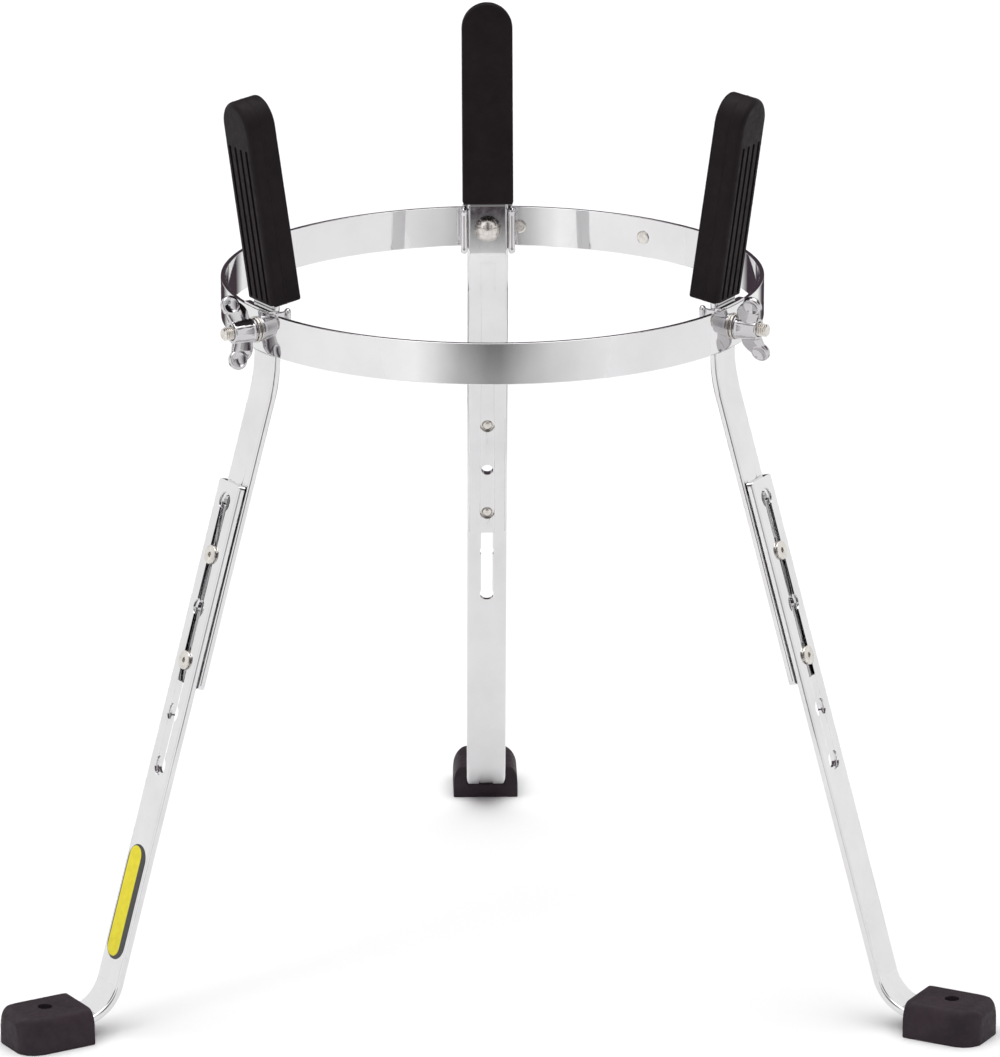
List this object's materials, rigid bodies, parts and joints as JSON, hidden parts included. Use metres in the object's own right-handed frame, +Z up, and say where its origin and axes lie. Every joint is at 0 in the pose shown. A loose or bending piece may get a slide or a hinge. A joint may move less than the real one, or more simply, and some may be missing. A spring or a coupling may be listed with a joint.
{
  "type": "conga drum stand",
  "caption": "Chrome basket stand for a conga drum: flat ring band, padded cradle arms clamped by wing nuts, keyhole-slotted adjustable legs and rubber feet.",
  "frame": {"origin": "on the floor plane under the centre of the part's own box in plan; the ring's axis stands 77.8 mm from it towards -Y", "axes": "+Z up; +Y from the two front legs towards the rear leg; +X to the right seen from the front"},
  "size_m": [0.6036, 0.5254, 0.5666],
  "materials": {
    "ring_chrome": "mirror-polished chrome plate on steel strip",
    "bar_chrome": "polished chrome plate on flat steel bar with rolled edges",
    "bracket_chrome": "chrome plate on a pressed steel bracket",
    "cast_chrome": "chrome plate on a die-cast wing nut, softly rounded",
    "nickel": "nickel-plated steel hardware, satin and slightly warm",
    "pad_rubber": "moulded black rubber, fine matte grain",
    "shoe_rubber": "moulded black rubber, a little lighter, matte",
    "label_yellow": "plain yellow vinyl label with a dark border, no print"
  },
  "bodies": {
    "ring": {"ring_band": "ring_chrome", "ring_splice": "ring_chrome", "ring_rivets": "nickel", "rear_saddle": "bracket_chrome", "rear_washer": "nickel", "left_saddle": "bracket_chrome", "left_washer": "nickel", "right_saddle": "bracket_chrome", "right_washer": "nickel"},
    "rear_nut": {"rear_wing_nut": "cast_chrome"},
    "rear_arm": {"rear_upper_bar": "bar_chrome", "rear_arm_pad": "pad_rubber", "rear_carriage_bolt": "nickel", "rear_upper_stud": "nickel", "rear_lower_stud": "nickel"},
    "rear_shin": {"rear_lower_bar": "bar_chrome", "rear_foot_shoe": "shoe_rubber", "rear_foot_screw": "nickel"},
    "left_nut": {"left_wing_nut": "cast_chrome"},
    "left_arm": {"left_upper_bar": "bar_chrome", "left_arm_pad": "pad_rubber", "left_carriage_bolt": "nickel", "left_upper_stud": "nickel", "left_lower_stud": "nickel"},
    "left_shin": {"left_lower_bar": "bar_chrome", "left_foot_shoe": "shoe_rubber", "left_foot_screw": "nickel", "left_leg_label": "label_yellow"},
    "right_nut": {"right_wing_nut": "cast_chrome"},
    "right_arm": {"right_upper_bar": "bar_chrome", "right_arm_pad": "pad_rubber", "right_carriage_bolt": "nickel", "right_upper_stud": "nickel", "right_lower_stud": "nickel"},
    "right_shin": {"right_lower_bar": "bar_chrome", "right_foot_shoe": "shoe_rubber", "right_foot_screw": "nickel"}
  },
  "joints": [
    {"name": "rear_nut_turn", "type": "hinge", "parent": "ring", "child": "rear_nut", "pos_m": [0, 0.09022, 0.4235], "axis": [0, 1, 0], "range_deg": [0, 2880]},
    {"name": "rear_arm_release", "type": "slide", "parent": "ring", "child": "rear_arm", "axis": [0, -1, 0], "range_m": [0, 0.01]},
    {"name": "rear_height_slide", "type": "slide", "parent": "rear_arm", "child": "rear_shin", "axis": [0, 0.284, -0.9588], "range_m": [-0.066, 0.033]},
    {"name": "left_nut_turn", "type": "hinge", "parent": "ring", "child": "left_nut", "pos_m": [-0.14549, -0.16178, 0.4235], "axis": [-0.866, -0.5, 0], "range_deg": [0, 2880]},
    {"name": "left_arm_release", "type": "slide", "parent": "ring", "child": "left_arm", "axis": [0.866, 0.5, 0], "range_m": [0, 0.01]},
    {"name": "left_height_slide", "type": "slide", "parent": "left_arm", "child": "left_shin", "axis": [-0.246, -0.142, -0.9588], "range_m": [-0.066, 0.033]},
    {"name": "right_nut_turn", "type": "hinge", "parent": "ring", "child": "right_nut", "pos_m": [0.14549, -0.16178, 0.4235], "axis": [0.866, -0.5, 0], "range_deg": [0, 2880]},
    {"name": "right_arm_release", "type": "slide", "parent": "ring", "child": "right_arm", "axis": [-0.866, 0.5, 0], "range_m": [0, 0.01]},
    {"name": "right_height_slide", "type": "slide", "parent": "right_arm", "child": "right_shin", "axis": [0.246, -0.142, -0.9588], "range_m": [-0.066, 0.033]}
  ],
  "couplings": [
    {"joint": "rear_nut_turn", "follows": "rear_arm_release", "rad_per_m": 5026.5},
    {"joint": "left_nut_turn", "follows": "left_arm_release", "rad_per_m": 5026.5},
    {"joint": "right_nut_turn", "follows": "right_arm_release", "rad_per_m": 5026.5}
  ]
}
